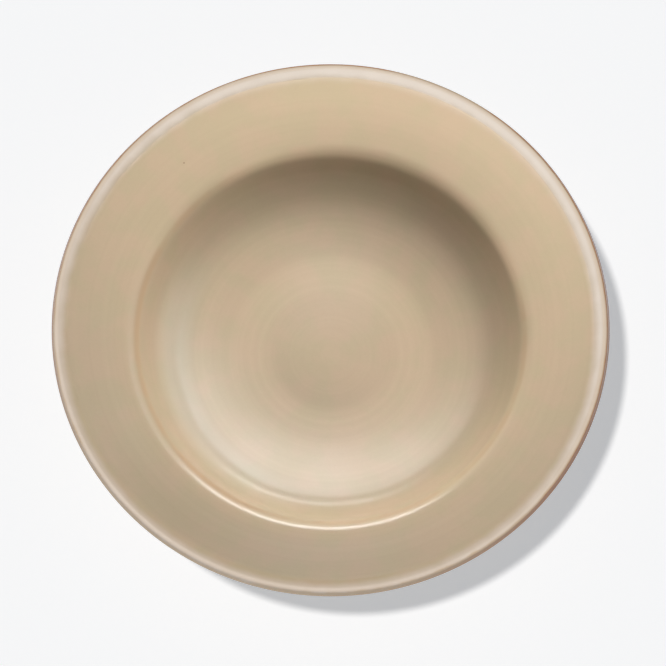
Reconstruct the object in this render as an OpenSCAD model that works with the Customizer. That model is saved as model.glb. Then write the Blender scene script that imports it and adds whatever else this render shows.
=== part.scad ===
// Pasta plate: one stoneware body, turned about its axis, under fused coats of glaze.
// A broad sloping rim runs down to a deep dished well. The lower corner of the rim's edge
// and the toe of the foot ring are bare clay, where each coat of glaze thins out to nothing.
// Every piece is a revolved profile, and all profiles share the corner points below.
// Millimetres, +Z up, origin on the axis at the table.

/* [Rim] */
// Outer diameter of the clay body
plate_d = 270; // [240:1:300]
// Slope of the rim above the horizontal, in degrees
rim_angle = 29; // [15:1:40]
// Rounding of the two corners of the rim's edge
edge_round = 1.5; // [0.8:0.1:2.2]

/* [Well] */
// Diameter of the lip, where the slopes of the rim and of the wall would meet
lip_d = 190; // [176:1:206]
// Rounding of the lip
lip_round = 16; // [8:1:30]
// Depth of the well, from the lip to the middle of the floor
well_depth = 36; // [28:0.5:42]
// Slope of the wall above the horizontal, in degrees
wall_angle = 66; // [56:1:74]
// Radius of the sweep from the floor up into the wall
sweep_r = 26; // [10:1:40]
// Diameter of the dished floor
floor_d = 144; // [120:1:152]
// Depth of the dish in the floor
dish_depth = 10.8; // [6:0.1:14]

/* [Clay] */
// Thickness of the rim and the wall
wall_t = 5; // [3.5:0.1:6]
// Thickness of the floor at its middle
floor_t = 5; // [4:0.1:7]

/* [Foot ring] */
// Outer diameter of the foot ring at its toe
foot_d = 108; // [90:1:114]
// Width of the toe, which is the face that the plate stands on
foot_w = 6; // [4:0.1:9]
// Lean of the foot ring's sides from the vertical, in degrees
foot_lean = 12; // [0:1:20]
// Depth of the recess inside the foot ring, at its middle
foot_recess = 2.5; // [2:0.1:4]
// Rounding of the toe's corners
toe_round = 0.8; // [0.3:0.1:1]
// Fillet on each side of the foot ring's root
root_fillet = 1.5; // [0.5:0.1:2.5]

/* [Glaze] */
// Thickness of the glaze
glaze_t = 0.4; // [0.2:0.05:0.8]
// Length over which a coat thins out to nothing at bare clay
feather_l = 2.2; // [1.5:0.1:4]
// Width of the pale band on the rim's slope, from the edge inwards
band_w = 6; // [4:0.5:12]
// Width of the bare clay at the lower corner of the rim's edge, up its end face
edge_bare = 1.7; // [1.5:0.1:2.2]
// Height of the bare clay on the sides of the foot ring
foot_bare = 1.3; // [1.1:0.1:1.6]

/* [Hidden] */
turn_steps = 180;
// Furthest that the straight steps of a rounding may lie inside its true arc
arc_sag = 0.005;

function heading(a) = [cos(a), sin(a)];

// Where the line through p at angle a crosses the line through q at angle b
function meet(p, a, q, b) =
    p + heading(a) * cross(q - p, heading(b)) / cross(heading(a), heading(b));

// The dished floor is part of a sphere, level on the axis and rising towards the sweep.
floor_z = foot_recess + floor_t;
floor_edge = [floor_d / 2, floor_z + dish_depth];
dish_r = (pow(floor_d / 2, 2) + pow(dish_depth, 2)) / (2 * dish_depth);
dish_angle = asin(floor_d / 2 / dish_r);

// The rim's end face is square to its slope, and its lower corner reaches the full diameter.
lip = [lip_d / 2, floor_z + well_depth];
up_rim = heading(rim_angle);
off_rim = heading(rim_angle + 90);
off_wall = heading(wall_angle + 90);
off_floor = heading(dish_angle + 90);
low_corner_reach = plate_d / 2 - edge_round - lip.x - (wall_t - edge_round) * sin(rim_angle);
rim_l = low_corner_reach / cos(rim_angle) + edge_round;
edge_top = lip + rim_l * up_rim;

// Each side of the foot ring leans out from its toe towards its root.
toe_out = foot_d / 2;
toe_in = toe_out - foot_w;
function lean_at(height) = height * tan(foot_lean);

// The recess is domed alongside the dished floor, so the floor keeps its thickness.
dome_r = dish_r + floor_t;
dome_edge = toe_in - lean_at(floor_z) - root_fillet;
dome_angle = asin(dome_edge / dome_r);
dome_rise = dome_r * (1 - cos(dome_angle));

// Corners of the clay's profile as [x, z, rounding], from the middle of the floor out over
// the rim and back under to the axis. Corners with no rounding mark where a coat ends.
FLOOR_MIDDLE = 0;
BAND_LINE = 4;
EDGE_LINE = 6;
EDGE_LOW = 7;
FOOT_LINE = 11;
RECESS_LINE = 14;
RECESS_MIDDLE = 17;
function rounded(p, r) = [p.x, p.y, r];
corners = [
    [0, floor_z, 0],
    [dish_r * tan(dish_angle / 2), floor_z, dish_r],
    rounded(meet(floor_edge, dish_angle, lip, wall_angle), sweep_r),
    rounded(lip, lip_round),
    rounded(edge_top - band_w * up_rim, 0),
    rounded(edge_top, edge_round),
    rounded(edge_top - (wall_t - edge_bare) * off_rim, 0),
    rounded(edge_top - wall_t * off_rim, edge_round),
    rounded(meet(lip - wall_t * off_rim, rim_angle, lip - wall_t * off_wall, wall_angle),
        max(lip_round - wall_t, edge_round)),
    rounded(meet(lip - wall_t * off_wall, wall_angle, floor_edge - wall_t * off_floor, dish_angle),
        sweep_r + wall_t),
    rounded(meet(floor_edge - wall_t * off_floor, dish_angle, [toe_out, 0], 90 - foot_lean),
        root_fillet),
    [toe_out + lean_at(foot_bare), foot_bare, 0],
    [toe_out, 0, toe_round],
    [toe_in, 0, toe_round],
    [toe_in - lean_at(foot_bare), foot_bare, 0],
    rounded(meet([toe_in, 0], 90 + foot_lean, [dome_edge, foot_recess + dome_rise], dome_angle),
        root_fillet),
    [dome_r * tan(dome_angle / 2), foot_recess, dome_r],
    [0, foot_recess, 0]
];
last = len(corners) - 1;

function place(i) = [corners[i].x, corners[i].y];
function side(i) = place(i + 1) - place(i);
function bearing(v) = atan2(v.y, v.x);
// Turn of the profile at a corner: positive where it bends up and inwards
function turn(i) = let (a = side(i - 1), b = side(i)) atan2(cross(a, b), a * b);

// Length that a corner's rounding takes from each of its two sides, and the share of it
// that fits where two roundings meet on one side
function reach(i) = i == 0 || i == last ? 0 : corners[i][2] * tan(abs(turn(i)) / 2);
function share(i) = min(1, 0.999 * norm(side(i)) / max(reach(i) + reach(i + 1), arc_sag));
function fit_r(i) = corners[i][2] * min(share(i - 1), share(i));

// Stations of one corner, each a point on the clay and the direction straight off it
function stations(i) =
    i == 0 || i == last ? [[place(i), heading(bearing(side(max(i - 1, 0))) + 90)]] :
    fit_r(i) < arc_sag ? [[place(i), heading(bearing(side(i)) + 90)]] :
    let (
        r = fit_r(i),
        start = bearing(side(i - 1)) + 90,
        bend = turn(i),
        toward = sign(bend) * r,
        centre = place(i) - r * tan(abs(bend) / 2) * heading(start - 90) + toward * heading(start),
        steps = ceil(abs(bend) / (2 * acos(1 - arc_sag / r)))
    )
    [for (k = [0:steps]) let (off = heading(start + bend * k / steps)) [centre - toward * off, off]];

function run(from, to) = [for (i = [from:to]) each stations(i)];
function distances(path) =
    [for (i = 0, s = 0; i < len(path); i = i + 1,
        s = i < len(path) ? s + norm(path[i][0] - path[i - 1][0]) : s) s];

// One coat of glaze along a run of the clay, thinned out at an end that meets bare clay
module coat(path, thin_start = false, thin_end = false) {
    at = distances(path);
    end = at[len(at) - 1];
    thick = [for (s = at) glaze_t * min(1, thin_start ? s / feather_l : 1,
        thin_end ? (end - s) / feather_l : 1)];
    inner = [for (q = path) q[0]];
    outer = [for (k = [len(path) - 1:-1:0]) if (thick[k] > 0) path[k][0] + thick[k] * path[k][1]];
    rotate_extrude($fn = turn_steps) polygon(concat(inner, outer));
}

module stoneware_body() {
    color("#a8734a")
        rotate_extrude($fn = turn_steps)
            polygon([for (q = run(FLOOR_MIDDLE, RECESS_MIDDLE)) q[0]]);
}

module face_glaze() {
    color("#c8b292") coat(run(FLOOR_MIDDLE, BAND_LINE));
}

module rim_band_glaze() {
    color("#dccfbb") coat(run(BAND_LINE, EDGE_LINE), thin_end = true);
}

module back_glaze() {
    color("#c3ac8b") coat(run(EDGE_LOW, FOOT_LINE), thin_start = true, thin_end = true);
}

module foot_recess_glaze() {
    color("#c3ac8b") coat(run(RECESS_LINE, RECESS_MIDDLE), thin_start = true);
}

stoneware_body();
face_glaze();
rim_band_glaze();
back_glaze();
foot_recess_glaze();
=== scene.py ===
import math
from types import SimpleNamespace

import bpy
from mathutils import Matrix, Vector


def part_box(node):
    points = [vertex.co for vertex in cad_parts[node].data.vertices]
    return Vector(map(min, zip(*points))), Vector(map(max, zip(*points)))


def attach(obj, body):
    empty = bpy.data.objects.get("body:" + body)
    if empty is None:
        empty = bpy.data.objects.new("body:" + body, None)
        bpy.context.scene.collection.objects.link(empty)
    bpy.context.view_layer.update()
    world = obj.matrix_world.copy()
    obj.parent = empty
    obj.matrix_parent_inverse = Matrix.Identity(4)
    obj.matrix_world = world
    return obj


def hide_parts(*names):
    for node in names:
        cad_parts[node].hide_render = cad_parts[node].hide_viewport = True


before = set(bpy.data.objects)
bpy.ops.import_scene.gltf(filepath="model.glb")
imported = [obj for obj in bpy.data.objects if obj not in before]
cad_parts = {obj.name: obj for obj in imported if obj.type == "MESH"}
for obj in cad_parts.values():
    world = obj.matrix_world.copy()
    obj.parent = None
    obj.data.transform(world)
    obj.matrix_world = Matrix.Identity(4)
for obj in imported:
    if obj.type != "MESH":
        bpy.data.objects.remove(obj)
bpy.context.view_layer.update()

# Stoneware body. One lump of iron-bearing clay, shaped on the wheel and fired hard.
# Glaze hides nearly all of it: bare clay shows at the lower corner of the rim's edge, where
# the glaze runs thin, and on the toe of the foot ring, which is wiped so that it can stand.
plate_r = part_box("stoneware_body")[1].x
rim_slope = math.radians(29)
edge_round = 0.0015
lip_r = 0.095
lip_round = 0.016
well_depth = 0.036
wall_slope = math.radians(66)
sweep_r = 0.026
floor_r = 0.072
dish_depth = 0.0108
wall_t = 0.005
floor_t = 0.005
foot_r = 0.054
foot_w = 0.006
foot_lean = math.radians(12)
foot_recess = 0.0025
toe_round = 0.0008
root_fillet = 0.0015
band_w = 0.006
edge_bare = 0.0017
foot_bare = 0.0013
upright = math.pi / 2


def heading(angle):
    """One step in the direction of an angle above the horizontal."""
    return Vector((math.cos(angle), math.sin(angle)))


def meet(p, a, q, b):
    """Where the line through p at angle a crosses the line through q at angle b."""
    along = heading(a)
    across = heading(b)
    return p + along * ((q - p).cross(across) / along.cross(across))


floor_z = foot_recess + floor_t
dish_r = (floor_r ** 2 + dish_depth ** 2) / (2 * dish_depth)
dish_slope = math.asin(floor_r / dish_r)
floor_edge = Vector((floor_r, floor_z + dish_depth))
lip = Vector((lip_r, floor_z + well_depth))
off_rim = heading(rim_slope + upright)
off_wall = heading(wall_slope + upright)
off_floor = heading(dish_slope + upright)
low_reach = plate_r - edge_round - lip_r - (wall_t - edge_round) * math.sin(rim_slope)
edge_top = lip + heading(rim_slope) * (low_reach / math.cos(rim_slope) + edge_round)
under_wall = lip - off_wall * wall_t
under_floor = floor_edge - off_floor * wall_t
toe_in = foot_r - foot_w
lean = math.tan(foot_lean)
dome_r = dish_r + floor_t
dome_edge = toe_in - floor_z * lean - root_fillet
dome_slope = math.asin(dome_edge / dome_r)
dome_top = Vector((dome_edge, foot_recess + dome_r * (1 - math.cos(dome_slope))))

# Corners of the clay's outline and their roundings, from the middle of the floor out over
# the rim and back under to the axis. Corners with no rounding mark where a coat ends.
corners = [
    (Vector((0, floor_z)), 0),
    (Vector((dish_r * math.tan(dish_slope / 2), floor_z)), dish_r),
    (meet(floor_edge, dish_slope, lip, wall_slope), sweep_r),
    (lip, lip_round),
    (edge_top - heading(rim_slope) * band_w, 0),
    (edge_top, edge_round),
    (edge_top - off_rim * (wall_t - edge_bare), 0),
    (edge_top - off_rim * wall_t, edge_round),
    (meet(lip - off_rim * wall_t, rim_slope, under_wall, wall_slope), lip_round - wall_t),
    (meet(under_wall, wall_slope, under_floor, dish_slope), sweep_r + wall_t),
    (meet(under_floor, dish_slope, Vector((foot_r, 0)), upright - foot_lean), root_fillet),
    (Vector((foot_r + foot_bare * lean, foot_bare)), 0),
    (Vector((foot_r, 0)), toe_round),
    (Vector((toe_in, 0)), toe_round),
    (Vector((toe_in - foot_bare * lean, foot_bare)), 0),
    (meet(Vector((toe_in, 0)), upright + foot_lean, dome_top, dome_slope), root_fillet),
    (Vector((dome_r * math.tan(dome_slope / 2), foot_recess)), dome_r),
    (Vector((0, foot_recess)), 0),
]
FLOOR_MIDDLE = 0
BAND_LINE = 4
EDGE_LINE = 6
EDGE_LOW = 7
FOOT_LINE = 11
RECESS_LINE = 14
RECESS_MIDDLE = 17
fullest_side = 0.999
shortest_reach = 1e-6
coarsest_turn = math.radians(8)


def side(i):
    """The straight way from one corner to the next."""
    return corners[i + 1][0] - corners[i][0]


def bend(i):
    """Turn of the outline at a corner: positive where it bends up and inwards."""
    before = side(i - 1)
    after = side(i)
    return math.atan2(before.cross(after), before.dot(after))


def reach(i):
    """Length that the rounding of a corner takes from each of its two sides."""
    if i in (FLOOR_MIDDLE, RECESS_MIDDLE):
        return 0
    return corners[i][1] * math.tan(abs(bend(i)) / 2)


def share(i):
    """How much of the roundings at both ends of a side fits on it."""
    return min(1, fullest_side * side(i).length / max(reach(i) + reach(i + 1), shortest_reach))


def arc(i, step):
    """Points round one corner, each with the direction straight off the clay."""
    place, r = corners[i]
    if i in (FLOOR_MIDDLE, RECESS_MIDDLE):
        run_in = side(max(i - 1, 0))
        return [(place, heading(math.atan2(run_in.y, run_in.x) + upright))]
    out = side(i - 1)
    off = math.atan2(out.y, out.x) + upright
    r = r * min(share(i - 1), share(i))
    if r == 0:
        return [(place, heading(off))]
    turn = bend(i)
    toward = math.copysign(r, turn)
    centre = place - out.normalized() * (r * math.tan(abs(turn) / 2)) + heading(off) * toward
    count = max(math.ceil(r * abs(turn) / step), math.ceil(abs(turn) / coarsest_turn))
    spread = [heading(off + turn * k / count) for k in range(count + 1)]
    return [(centre - n * toward, n) for n in spread]


def stretch(first, last, step):
    """Points along the clay from one corner to another, no further apart than the step."""
    path = []
    for i in range(first, last + 1):
        for point, off in arc(i, step):
            if path:
                start = path[-1][0]
                count = math.ceil((point - start).length / step)
                path += [(start.lerp(point, k / count), off) for k in range(1, count)]
            path.append((point, off))
    return path


class Socket:
    """An output in a tree of nodes. Arithmetic on it adds Math nodes."""

    def __init__(self, tree, output=None):
        self.tree = tree
        self.output = output

    def node(self, kind, settings=None, sockets=None, output=0):
        """A new node of the same tree, with its settings and its sockets' values or links."""
        made = self.tree.nodes.new(kind)
        for name, value in (settings or {}).items():
            setattr(made, name, value)
        for name, value in (sockets or {}).items():
            target = made.inputs[name]
            if isinstance(value, Socket):
                self.tree.links.new(value.output, target)
            else:
                target.default_value = value
        return Socket(self.tree, made.outputs[output])

    def maths(self, operation, *values):
        """A Math node on these values."""
        return self.node("ShaderNodeMath", {"operation": operation}, dict(enumerate(values)))

    def __add__(self, other):
        return self.maths("ADD", self, other)

    def __sub__(self, other):
        return self.maths("SUBTRACT", self, other)

    def __rsub__(self, other):
        return self.maths("SUBTRACT", other, self)

    def __mul__(self, other):
        return self.maths("MULTIPLY", self, other)

    def __truediv__(self, other):
        return self.maths("DIVIDE", self, other)

    __radd__ = __add__
    __rmul__ = __mul__

    def between(self, low, high):
        """0 below low and 1 above high, or the other way round, with a soft step between."""
        settings = {"interpolation_type": "SMOOTHSTEP"}
        sockets = {"Value": self, "From Min": low, "From Max": high}
        return self.node("ShaderNodeMapRange", settings, sockets)

    def within(self, start, full, fade, end):
        """1 from full to fade, and 0 before start and after end, with soft steps between."""
        return self.between(start, full) * self.between(end, fade)

    def part(self, axis):
        """One axis of these coordinates."""
        return self.node("ShaderNodeSeparateXYZ", sockets={"Vector": self}, output=axis)

    def along(self, way):
        """How far these coordinates reach in a direction."""
        sockets = {0: self, 1: way}
        return self.node("ShaderNodeVectorMath", {"operation": "DOT_PRODUCT"}, sockets, "Value")

    def noise(self, size, detail=2.0):
        """Soft noise over these coordinates, with lumps of about that size."""
        sockets = {"Vector": self, "Scale": 1 / size, "Detail": detail}
        return self.node("ShaderNodeTexNoise", sockets=sockets)

    def waves(self, pitch, detail=2.0):
        """Soft noise along this distance, with waves of about that pitch."""
        sockets = {"W": self / pitch, "Scale": 1, "Detail": detail}
        return self.node("ShaderNodeTexNoise", {"noise_dimensions": "1D"}, sockets)

    def colours(self, low, high):
        """One colour where this is 0, another where it is 1, and their mix between."""
        sockets = {0: self, 6: low, 7: high}
        return self.node("ShaderNodeMix", {"data_type": "RGBA"}, sockets, 2)

    def blend(self, colour, amount):
        """This colour with another laid over it."""
        return amount.colours(self, colour)


def wheel_tree():
    """Turns an outline about Z, with faint throwing rings and a slight warp towards the rim."""
    ring_fade = 0.9
    warp_span = 0.8
    seam_gap = 5e-7
    crease = 0.7
    inputs = {
        "Outline": "Geometry",
        "Steps": "Int",
        "Ring Depth": "Float",
        "Ring Pitch": "Float",
        "Ring End": "Float",
        "Warp": "Float",
        "Warp Start": "Float",
        "Warp End": "Float",
        "Seed": "Float",
        "Finish": "Material",
    }
    tree = bpy.data.node_groups.new("wheel", "GeometryNodeTree")
    for name, kind in inputs.items():
        tree.interface.new_socket(name, in_out="INPUT", socket_type="NodeSocket" + kind)
    tree.interface.new_socket("Piece", in_out="OUTPUT", socket_type="NodeSocketGeometry")
    given = {s.name: Socket(tree, s) for s in tree.nodes.new("NodeGroupInput").outputs}
    outline = given["Outline"]
    steps = given["Steps"]
    ring_end = given["Ring End"]
    add = outline.node

    points = add("GeometryNodeAttributeDomainSize", None, {"Geometry": outline}, "Point Count")
    grid = add("GeometryNodeMeshGrid", None, {"Vertices X": steps + 1, "Vertices Y": points})
    index = add("GeometryNodeInputIndex")
    angle = index.maths("FLOOR", index / points) / steps * math.tau
    cosine = angle.maths("COSINE", angle)
    sine = angle.maths("SINE", angle)
    sample = {
        "Geometry": outline,
        "Value": add("GeometryNodeInputPosition"),
        "Index": index.maths("MODULO", index, points),
    }
    profile = add("GeometryNodeSampleIndex", {"data_type": "FLOAT_VECTOR"}, sample)
    radius = profile.part("X")
    height = profile.part("Z")

    rings = (radius.waves(given["Ring Pitch"]) - 0.5) * given["Ring Depth"]
    rings = rings * radius.between(ring_end, ring_end * ring_fade)
    around = add("ShaderNodeCombineXYZ", None, {"X": cosine, "Y": sine, "Z": given["Seed"]})
    warp = (around.noise(warp_span) - 0.5) * given["Warp"]
    warp = warp * radius.between(given["Warp Start"], given["Warp End"])
    place = {"X": radius * cosine, "Y": radius * sine, "Z": height + rings + warp}
    place = add("ShaderNodeCombineXYZ", None, place)

    thrown = add("GeometryNodeSetPosition", None, {"Geometry": grid, "Position": place})
    closed = add("GeometryNodeMergeByDistance", None, {"Geometry": thrown, "Distance": seam_gap})
    smooth = add("GeometryNodeSetShadeSmooth", {"domain": "FACE"}, {"Geometry": closed})
    fold = add("GeometryNodeInputMeshEdgeAngle")
    sharp = {
        "Geometry": smooth,
        "Selection": fold.maths("GREATER_THAN", fold, crease),
        "Shade Smooth": False,
    }
    crisp = add("GeometryNodeSetShadeSmooth", {"domain": "EDGE"}, sharp)
    real = add("GeometryNodeRealizeInstances", None, {"Geometry": crisp})
    coated = add("GeometryNodeSetMaterial", None, {"Geometry": real, "Material": given["Finish"]})
    tree.links.new(coated.output, tree.nodes.new("NodeGroupOutput").inputs["Piece"])
    return tree


wheel = wheel_tree()
turn_steps = 320
ring_pitch = 0.0034
warp_depth = 0.0006
warp_seed = 3.0
hidden_step = 0.002


def turned(name, outline, finish, ring_depth=0.0):
    """One piece of the plate, from its outline of points beside the axis."""
    points = bpy.data.meshes.new(name + "_outline")
    points.from_pydata([(p.x, 0, p.y) for p in outline], [], [])
    piece = bpy.data.objects.new(name, points)
    bpy.context.scene.collection.objects.link(piece)
    lathe = piece.modifiers.new("wheel", "NODES")
    lathe.node_group = wheel
    sizes = {
        "Steps": turn_steps,
        "Ring Depth": ring_depth,
        "Ring Pitch": ring_pitch,
        "Ring End": plate_r - band_w,
        "Warp": warp_depth,
        "Warp Start": foot_r + foot_w,
        "Warp End": plate_r,
        "Seed": warp_seed,
        "Finish": finish,
    }
    for item in wheel.interface.items_tree:
        if item.name in sizes:
            lathe[item.identifier] = sizes[item.name]
    graph = bpy.context.evaluated_depsgraph_get()
    mesh = bpy.data.meshes.new_from_object(piece.evaluated_get(graph), depsgraph=graph)
    piece.modifiers.remove(lathe)
    piece.data = mesh
    mesh.name = name
    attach(piece, "root")
    return piece


# The upper corner of the rim's edge, along the rim's slope and square to it
edge_reach = edge_top.x * math.cos(rim_slope) + edge_top.y * math.sin(rim_slope)
edge_level = edge_top.y * math.cos(rim_slope) - edge_top.x * math.sin(rim_slope)
far_way = (0.25, 0.60, 0)


def places(at):
    """Where a spot lies: its distances from the axis, in from the rim's edge and down the
    rim's end, and how far it lies to the far side, from the axis and by direction alone."""
    level = at.node("ShaderNodeVectorMath", {"operation": "MULTIPLY"}, {0: at, 1: (1, 1, 0)})
    radius = at.node("ShaderNodeVectorMath", {"operation": "LENGTH"}, {0: level}, "Value")
    height = at.part("Z")
    across = at.along(far_way)
    return SimpleNamespace(
        radius=radius,
        from_edge=edge_reach - radius * math.cos(rim_slope) - height * math.sin(rim_slope),
        down_edge=edge_level + radius * math.sin(rim_slope) - height * math.cos(rim_slope),
        across=across,
        far_side=0.5 + across / radius,
    )


def blank_finish(name):
    """A new material, with its shader and the coordinates of a spot on the piece."""
    material = bpy.data.materials.new(name)
    material.use_nodes = True
    shader = material.node_tree.nodes["Principled BSDF"]
    at = Socket(material.node_tree).node("ShaderNodeTexCoord", output="Object")
    return material, shader, at


def feed(shader, values):
    """Leads what varies into the sockets of a shader."""
    for name, value in values.items():
        value.tree.links.new(value.output, shader.inputs[name])


def clay_finish():
    """Toasted iron-bearing clay, matte and grainy, a tan bloom on the edge's near side, painted
    shade on its lower corner.
    """
    rust = (0.25, 0.108, 0.045, 1)
    umber = (0.11, 0.052, 0.027, 1)
    sand = (0.34, 0.200, 0.110, 1)
    bloom = (0.480, 0.400, 0.300, 1)
    patch_size = 0.011
    grain_size = 0.0006
    pit_depth = 0.0002
    material, shader, at = blank_finish("toasted_clay")
    spot = places(at)
    patches = at.noise(patch_size, 3)
    grain = at.noise(grain_size)

    toasted = patches.between(0.36, 0.62)
    sandy = grain.between(0.60, 0.72) * 0.5
    at_edge = spot.radius.between(plate_r - 0.017, plate_r - 0.010)
    near_side = (0.75 - spot.far_side).between(0.30, 0.80)
    by_the_glaze = spot.down_edge.between(0.0047, 0.0037) * at_edge * near_side * 0.85
    # Painted shade: umber along the lower corner of the rim's end, where shadow falls.
    shaded_low_corner = spot.down_edge.between(0.0045, 0.0052) * at_edge * 0.7
    colour = toasted.colours(umber, rust)
    colour = colour.blend(sand, sandy)
    colour = colour.blend(bloom, by_the_glaze)
    colour = colour.blend(umber, shaded_low_corner)

    roughness = 0.62 + grain * 0.25
    pits = {"Height": grain, "Strength": 0.35, "Distance": pit_depth}
    pitted = at.node("ShaderNodeBump", None, pits)
    shader.inputs["Specular IOR Level"].default_value = 0.1
    feed(shader, {"Base Color": colour, "Normal": pitted, "Roughness": roughness})
    return material


body_path = stretch(FLOOR_MIDDLE, RECESS_MIDDLE, hidden_step)
body_outline = [point for point, off in reversed(body_path)]
body = turned("fired_body", body_outline, clay_finish())
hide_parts("stoneware_body")

# Face glaze. A glossy warm beige coat, poured over the well and the rim and fired on.
# It breaks browner along the lip. Painted shade darkens the lip's crease, the steep wall, and
# the near side of the rim and of the floor's middle; painted light brightens the far lip and
# the far side of the rim and floor; a painted sheen pales the near left of the sweep and a
# ring round the floor's middle.
glaze_t = 0.0004
feather = 0.0022
face_step = 0.0007
face_ring_depth = 0.00002
# Ways out from the axis in which the glaze lies differently
near_left_way = (-0.80, -0.35, 0)
near_way = (-0.26, -0.97, 0)
covered_way = (0.41, 0.91, 0)


def coat(first, last, thin_start=False, thin_end=False, step=face_step):
    """Outline of a coat on a stretch of clay: out along the clay, back along its glossy side."""
    inner = [point for point, off in stretch(first, last, hidden_step)]
    path = stretch(first, last, step)
    points = [point for point, off in path]
    along = [0.0]
    for p, q in zip(points, points[1:]):
        along.append(along[-1] + (q - p).length)
    outer = []
    for (point, off), s in zip(path, along):
        from_start = s / feather if thin_start else 1
        from_end = (along[-1] - s) / feather if thin_end else 1
        thick = min(1, from_start, from_end)
        if thick > 0:
            outer.append(point + off * (glaze_t * thick))
    outline = inner + outer[::-1]
    clear_of_axis = inner[0].x > 0 and inner[-1].x > 0
    if clear_of_axis:
        outline.append(outline[0])
    return outline


def glaze_lie(at, spot):
    """Masks on the glaze: a painted sheen in the near left of the sweep, painted shade on the
    steep wall, painted light over the far lip, and the part under the rim."""
    near_left_rise = 0.003
    radius = spot.radius
    near_left = (at.along(near_left_way) / radius).between(0.35, 0.80)
    far_end = spot.far_side.between(0.75, 1.00)
    sweep = radius.within(floor_r - 0.006, floor_r + 0.004, floor_r + 0.009, floor_r + 0.018)
    lip_ring = radius.within(lip_r - 0.0025, lip_r, lip_r + 0.0012, lip_r + 0.0052)
    above_floor = radius.between(floor_r - 0.008, floor_r + 0.010)
    below_lip = (radius - near_left * near_left_rise).between(lip_r + 0.0015, lip_r - 0.0025)
    # Painted sheen: a paler, cooler patch in the near left of the sweep, standing for a
    # reflection.
    painted_sheen = near_left * sweep
    return SimpleNamespace(
        near_left=near_left,
        painted_sheen=painted_sheen,
        # Painted light over the far lip.
        far_lip_light=far_end * lip_ring,
        # Painted shade on the steep wall, darker all round, left out under the painted sheen.
        steep=above_floor * below_lip * (1 - painted_sheen),
        under=spot.down_edge.between(0.0036, 0.0046),
    )


def glaze_tone(at, spot, lie, fine):
    """How light the beige is, where 1 is its plain colour. Apart from the rings and the grain it
    is painted light and shade.
    """
    throwing_pitch = 0.0026
    radius = spot.radius
    nearest = (at.along(near_way) / radius).between(0.65, 1.00)
    on_rim = radius.between(lip_r, lip_r + 0.006) * spot.from_edge.between(0.005, 0.018)
    up_rim = radius.between(lip_r + 0.004, lip_r + 0.014) * spot.from_edge.between(0.004, 0.009)
    # Painted light and shade on the floor's middle, lighter to the far side and darker to the
    # near side.
    dish = spot.across * radius.between(0.055, 0.042)
    near_dish = spot.across.maths("MINIMUM", spot.across, 0) * radius.between(0.032, 0.024)
    # Painted sheen: a paler ring round the floor's middle, standing for a reflection.
    pale_ring = radius.within(0.028, 0.037, 0.047, 0.054)

    rings = (radius.waves(throwing_pitch, 2.5) - 0.5) * 0.05
    grain = (fine - 0.5) * 0.04
    # Painted light on the far side of the rim and painted shade on its near side.
    rim = (spot.far_side - 0.5) * on_rim * 0.11 - nearest * up_rim * 0.08
    # Painted light over the far lip and painted shade on the steep wall, more at the near left.
    wall = lie.far_lip_light * 0.27 - lie.steep * (0.13 + lie.near_left * 0.05)
    # Painted light and shade across the floor's middle, with a painted sheen in a ring round it.
    floor = dish * 2.5 + near_dish * 5.5 + pale_ring * 0.045
    return 1 + rings + grain + rim + wall + floor


def pale_band(beige, spot, lie, clouds, wander):
    """The beige with the pale band over it, which runs on as a thin film past its own line."""
    cream = (0.775, 0.690, 0.605, 1)
    blush = (0.610, 0.510, 0.420, 1)
    line_w = 0.0001
    near_loss = 0.0034
    past_line = spot.from_edge.between(band_w - line_w / 2, band_w + line_w / 2)
    film = 1 - past_line * spot.far_side.between(0.70, 1.00) * 0.62
    inwards = spot.from_edge + wander + (1 - spot.far_side) * near_loss
    top_of_rim = spot.radius.between(plate_r - 0.017, plate_r - 0.014)
    band = inwards.between(0.0095, 0.0030) * top_of_rim * film * (1 - lie.under)
    # The band goes from cream to a darker blush, partly at random with the clouds and partly as
    # painted shade towards the near side.
    pale = (clouds * 0.5 + spot.far_side * 0.5).between(0.10, 0.95)
    return beige.blend(pale.colours(blush, cream), band)


def thin_edge(colour, at, spot, lie, wander):
    """The glaze as it runs thin over the rim's edge: honey first, then rust from the clay, and
    painted shade along the edge's lower corner.
    """
    honey = (0.560, 0.415, 0.270, 1)
    rust = (0.430, 0.145, 0.035, 1)
    shaded = (0.200, 0.150, 0.095, 1)
    far_flow = 4
    run_off = spot.down_edge * (1 + spot.far_side * far_flow) + wander
    end_face = 1 - lie.under * spot.radius.between(plate_r - 0.0025, plate_r - 0.0050)
    at_edge = spot.radius.between(plate_r - 0.010, plate_r - 0.008) * end_face
    covered = (at.along(covered_way) / spot.radius).between(0.972, 0.990)
    toasted = spot.far_side.between(-0.20, 0.45) * (0.85 - covered * 0.75)

    thin = run_off.between(0.0002, 0.0014) * at_edge * 0.8
    top_corner = spot.from_edge.between(0.0026, 0.0006) * spot.far_side.between(-0.1, 0.8)
    bare = run_off.between(0.0018, 0.0030) * at_edge * toasted
    # Painted shade: a dark brown along the lower corner of the rim's end, where shadow falls.
    shaded_low_corner = spot.down_edge.between(0.0044, 0.0053) * (1 - toasted)
    colour = colour.blend(honey, thin)
    colour = colour.blend(honey, top_corner * at_edge * 0.5)
    colour = colour.blend(rust, bare)
    return colour.blend(shaded, shaded_low_corner * at_edge * 0.8)


def iron_specks(colour, at):
    """The colour with a few dark specks of iron, one in about every fifth cell."""
    iron = (0.16, 0.095, 0.05, 1)
    cells_per_m = 42
    cells = {"Vector": at, "Scale": cells_per_m}
    from_middle = at.node("ShaderNodeTexVoronoi", None, cells, "Distance")
    draw = at.node("ShaderNodeTexVoronoi", None, cells, "Color")
    draw = at.node("ShaderNodeSeparateColor", None, {"Color": draw}, "Red")
    specks = from_middle.between(0.022, 0.012) * draw.between(0.78, 0.80) * 0.8
    return colour.blend(iron, specks)


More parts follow.
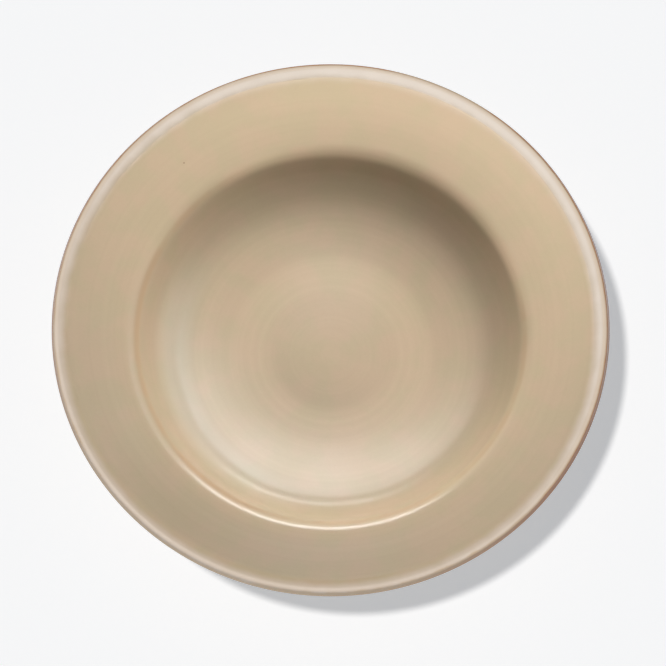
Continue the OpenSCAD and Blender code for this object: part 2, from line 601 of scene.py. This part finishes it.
def glaze_finish(name):
    """Fired glaze: warm beige, a pale band below the rim's edge, tan where it runs thin."""
    olive = (0.474, 0.380, 0.251, 1)
    rose = (0.500, 0.379, 0.259, 1)
    cool = (0.440, 0.420, 0.338, 1)
    tan = (0.400, 0.268, 0.155, 1)
    cloud_size = 0.016
    drift_size = 0.009
    fine_size = 0.0012
    ripple_depth = 0.0006
    material, shader, at = blank_finish(name)
    spot = places(at)
    lie = glaze_lie(at, spot)
    clouds = at.noise(cloud_size, 2.5)
    drift = at.noise(drift_size)
    fine = at.noise(fine_size)
    wander = (drift - 0.5) * 0.0022 + (fine - 0.5) * 0.0006

    beige = clouds.between(0.35, 0.65).colours(olive, rose)
    tone = {0: beige, "Scale": glaze_tone(at, spot, lie, fine)}
    beige = at.node("ShaderNodeVectorMath", {"operation": "SCALE"}, tone)
    # Painted sheen: the near left of the sweep laid over with a cool grey-beige.
    beige = beige.blend(cool, lie.painted_sheen * 0.35)
    # The glaze breaks browner over the lip; the same tan line is also painted shade in the lip's
    # crease, strongest at the near left and left out where the far lip is painted light.
    off_lip = at.maths("ABSOLUTE", spot.radius - lip_r)
    lip_break = off_lip.between(0.0020, 0.0003) * clouds.between(0.15, 0.55)
    beige = beige.blend(tan, lip_break * (0.35 + lie.near_left * 0.25) * (1 - lie.far_lip_light))
    colour = pale_band(beige, spot, lie, clouds, wander)
    colour = thin_edge(colour, at, spot, lie, wander)
    colour = iron_specks(colour, at)

    slick = spot.radius.between(lip_r + 0.0038, lip_r + 0.0056) * 0.14
    worn = spot.radius.between(lip_r + 0.0075, lip_r + 0.0130) * 0.06
    roughness = 0.225 + lie.steep * 0.025 + (drift - 0.5) * 0.03 - slick + worn
    ripples = {"Height": drift * 0.5 + clouds, "Strength": 0.05, "Distance": ripple_depth}
    rippled = at.node("ShaderNodeBump", None, ripples)
    shader.inputs["IOR"].default_value = 1.52
    feed(shader, {"Base Color": colour, "Normal": rippled, "Roughness": roughness})
    return material


face_outline = coat(FLOOR_MIDDLE, BAND_LINE)
face = turned("beige_face", face_outline, glaze_finish("beige_glaze"), face_ring_depth)
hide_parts("face_glaze")

# Rim band. A second, paler glaze, brushed on below the edge while the plate turns.
# It meets the beige with a soft wandering line, goes over the edge, and thins out to
# nothing down the rim's end.
band_step = face_step / 2
band_outline = coat(BAND_LINE, EDGE_LINE, thin_end=True, step=band_step)
band = turned("pale_rim_band", band_outline, glaze_finish("pale_glaze"))
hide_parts("rim_band_glaze")

# Back glaze. The same beige coat under the rim and down the outside of the well.
# It starts below the bare edge of the rim and stops short of the toe of the foot ring.
back_outline = coat(EDGE_LOW, FOOT_LINE, thin_start=True, thin_end=True, step=hidden_step)
back = turned("beige_back", back_outline, glaze_finish("back_beige_glaze"))
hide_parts("back_glaze")

# Foot recess glaze. The same coat on the dome inside the foot ring.
# It stops short of the toe, which stays bare so that the plate doesn't fuse to its shelf.
recess_outline = coat(RECESS_LINE, RECESS_MIDDLE, thin_start=True, step=hidden_step)
recess = turned("beige_foot_recess", recess_outline, glaze_finish("recess_beige_glaze"))
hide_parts("foot_recess_glaze")

# Floor. A plain pale studio table, which only carries the plate's shadow.
# What the camera and reflections see of it is lifted to near white, and the shadow stays
# a cool grey.
floor_half = 3.0
table_grey = (0.80, 0.785, 0.765, 1)
table_lift = (0.447, 0.463, 0.485, 1)
floor_ways = [(-1, -1), (1, -1), (1, 1), (-1, 1)]
floor_corners = [(x * floor_half, y * floor_half, 0) for x, y in floor_ways]
floor_mesh = bpy.data.meshes.new("table")
floor_mesh.from_pydata(floor_corners, [], [(0, 1, 2, 3)])
table = bpy.data.objects.new("table", floor_mesh)
bpy.context.scene.collection.objects.link(table)

table_paint = bpy.data.materials.new("white_table")
table_paint.use_nodes = True
paint = table_paint.node_tree.nodes["Principled BSDF"]
paint.inputs["Base Color"].default_value = table_grey
paint.inputs["Roughness"].default_value = 0.9
paint.inputs["Specular IOR Level"].default_value = 0.0
paint.inputs["Emission Color"].default_value = table_lift
lifted = Socket(table_paint.node_tree).node("ShaderNodeLightPath", output="Is Camera Ray")
for name in ("Is Glossy Ray", "Is Transmission Ray"):
    lifted = lifted.maths("MAXIMUM", lifted, lifted.node("ShaderNodeLightPath", output=name))
feed(paint, {"Emission Strength": lifted})
floor_mesh.materials.append(table_paint)

# Studio light. A bank of small soft boxes stands close behind the plate and lights the face
# alone, without gloss. Panels further up and a low strip behind give the face its gloss, one
# box overhead lights the edge and the back, and a small sun throws the shadow on the table.
well_middle = Vector((0, 0, 0.03))


def group(name, *pieces):
    """A collection of the pieces that a lamp lights."""
    lit = bpy.data.collections.new(name)
    for piece in pieces:
        lit.objects.link(piece)
    return lit


def soft_box(name, centre, aim, size, radiance, lights, matte=True, gloss=True):
    """A flat rectangular lamp that faces a point and has a set brightness."""
    width, height = size
    lamp = bpy.data.lights.new(name, "AREA")
    lamp.shape = "RECTANGLE"
    lamp.size = width
    lamp.size_y = height
    lamp.energy = math.pi * width * height * radiance
    holder = bpy.data.objects.new(name, lamp)
    holder.location = centre
    holder.rotation_euler = (aim - Vector(centre)).to_track_quat("-Z", "Y").to_euler()
    holder.visible_camera = False
    holder.visible_diffuse = matte
    holder.visible_glossy = gloss
    holder.light_linking.receiver_collection = lights
    bpy.context.scene.collection.objects.link(holder)


face_only = group("face_only", face)
edge_pieces = group("edge_pieces", body, band, back)
table_only = group("table_only", table)

# Each box of the bank: its name, place, width and radiance
bank = [
    ("bank_low", (0.00, 0.22, 0.12), 0.08, 17.0),
    ("bank_back", (0.00, 0.44, 0.21), 0.16, 4.0),
    ("bank_low_right", (0.10, 0.22, 0.12), 0.08, 11.4),
    ("bank_low_left", (-0.20, 0.32, 0.12), 0.08, 9.9),
    ("bank_far_right", (0.20, 0.20, 0.17), 0.10, 14.0),
    ("bank_back_right", (0.40, 0.40, 0.31), 0.20, 2.5),
    ("bank_far_left", (-0.10, 0.20, 0.17), 0.10, 2.5),
    ("bank_right", (0.20, 0.10, 0.17), 0.10, 4.5),
    ("bank_near_right", (0.10, 0.10, 0.17), 0.10, 3.0),
    ("bank_middle", (0.00, 0.10, 0.17), 0.10, 2.5),
    ("bank_near_left", (-0.10, 0.10, 0.17), 0.10, 0.9),
]
for name, centre, width, radiance in bank:
    soft_box(name, centre, well_middle, (width, width), radiance, face_only, gloss=False)

# Each gloss panel: its name, tip from overhead and turn about the axis in degrees, radiance
panels = [
    ("panel_far", 46, 80, 5.0),
    ("panel_far_left", 46, 100, 4.4),
    ("panel_far_right", 44, 60, 4.4),
    ("panel_high_right", 38, 40, 2.8),
    ("panel_left", 46, 120, 2.6),
    ("panel_top", 4, 90, 1.5),
]
panel_far = 1.0
panel_size = (0.31, 0.31)
for name, tip, turn, radiance in panels:
    level = heading(math.radians(turn)) * math.sin(math.radians(tip))
    way = Vector((level.x, level.y, math.cos(math.radians(tip))))
    centre = well_middle + way * panel_far
    soft_box(name, centre, well_middle, panel_size, radiance, face_only, matte=False)

strip_place = (0.05, 0.50, 0.130)
strip_size = (0.46, 0.07)
strip_radiance = 15.0
near_lip = Vector((0, -0.09, 0.045))
soft_box("low_strip", strip_place, near_lip, strip_size, strip_radiance, face_only, matte=False)

over_place = (-0.12, -0.20, 1.25)
over_size = (0.8, 0.8)
over_radiance = 9.0
soft_box("edge_box", over_place, well_middle, over_size, over_radiance, edge_pieces, gloss=False)

sun_strength = 1.78
sun_width = math.radians(4)
shadow_way = Vector((0.0134, 0.0050, -0.061))
sun = bpy.data.lights.new("shadow_sun", "SUN")
sun.energy = sun_strength
sun.angle = sun_width
sun_holder = bpy.data.objects.new("shadow_sun", sun)
sun_holder.rotation_euler = shadow_way.to_track_quat("-Z", "Y").to_euler()
sun_holder.light_linking.receiver_collection = table_only
bpy.context.scene.collection.objects.link(sun_holder)

fill = 0.03
white = 0.94
world = bpy.data.worlds.new("studio")
world.use_nodes = True
bpy.context.scene.world = world
backdrop = world.node_tree.nodes["Background"]
backdrop.inputs["Color"].default_value = (1, 1, 1, 1)
sight = Socket(world.node_tree).node("ShaderNodeLightPath", output="Is Camera Ray")
feed(backdrop, {"Strength": fill + sight * (white - fill)})

# Camera. It looks down at the plate from the front, as the photograph does.
# Its distance and lens put the rim's ellipse where the photograph has it.
picture_px = 666
rim_px = 279.15
rim_middle_px = Vector((330.65, 322.7))
camera_rise = math.radians(72.5)
camera_far = 1.6
nearest_seen = 0.05
px_per_m = rim_px / plate_r
camera = bpy.data.cameras.new("camera")
camera.sensor_width = 36
camera.lens = camera.sensor_width * px_per_m * camera_far / picture_px
camera.clip_start = nearest_seen
offset = (Vector((picture_px / 2, picture_px / 2)) - rim_middle_px) / px_per_m
aim = Vector((offset.x, -offset.y / math.sin(camera_rise), edge_top.y - wall_t / 2))
view = bpy.data.objects.new("camera", camera)
view.location = aim + Vector((0, -math.cos(camera_rise), math.sin(camera_rise))) * camera_far
view.rotation_euler = (upright - camera_rise, 0, 0)
bpy.context.scene.collection.objects.link(view)
bpy.context.scene.camera = view
bpy.context.scene.view_settings.view_transform = "Standard"
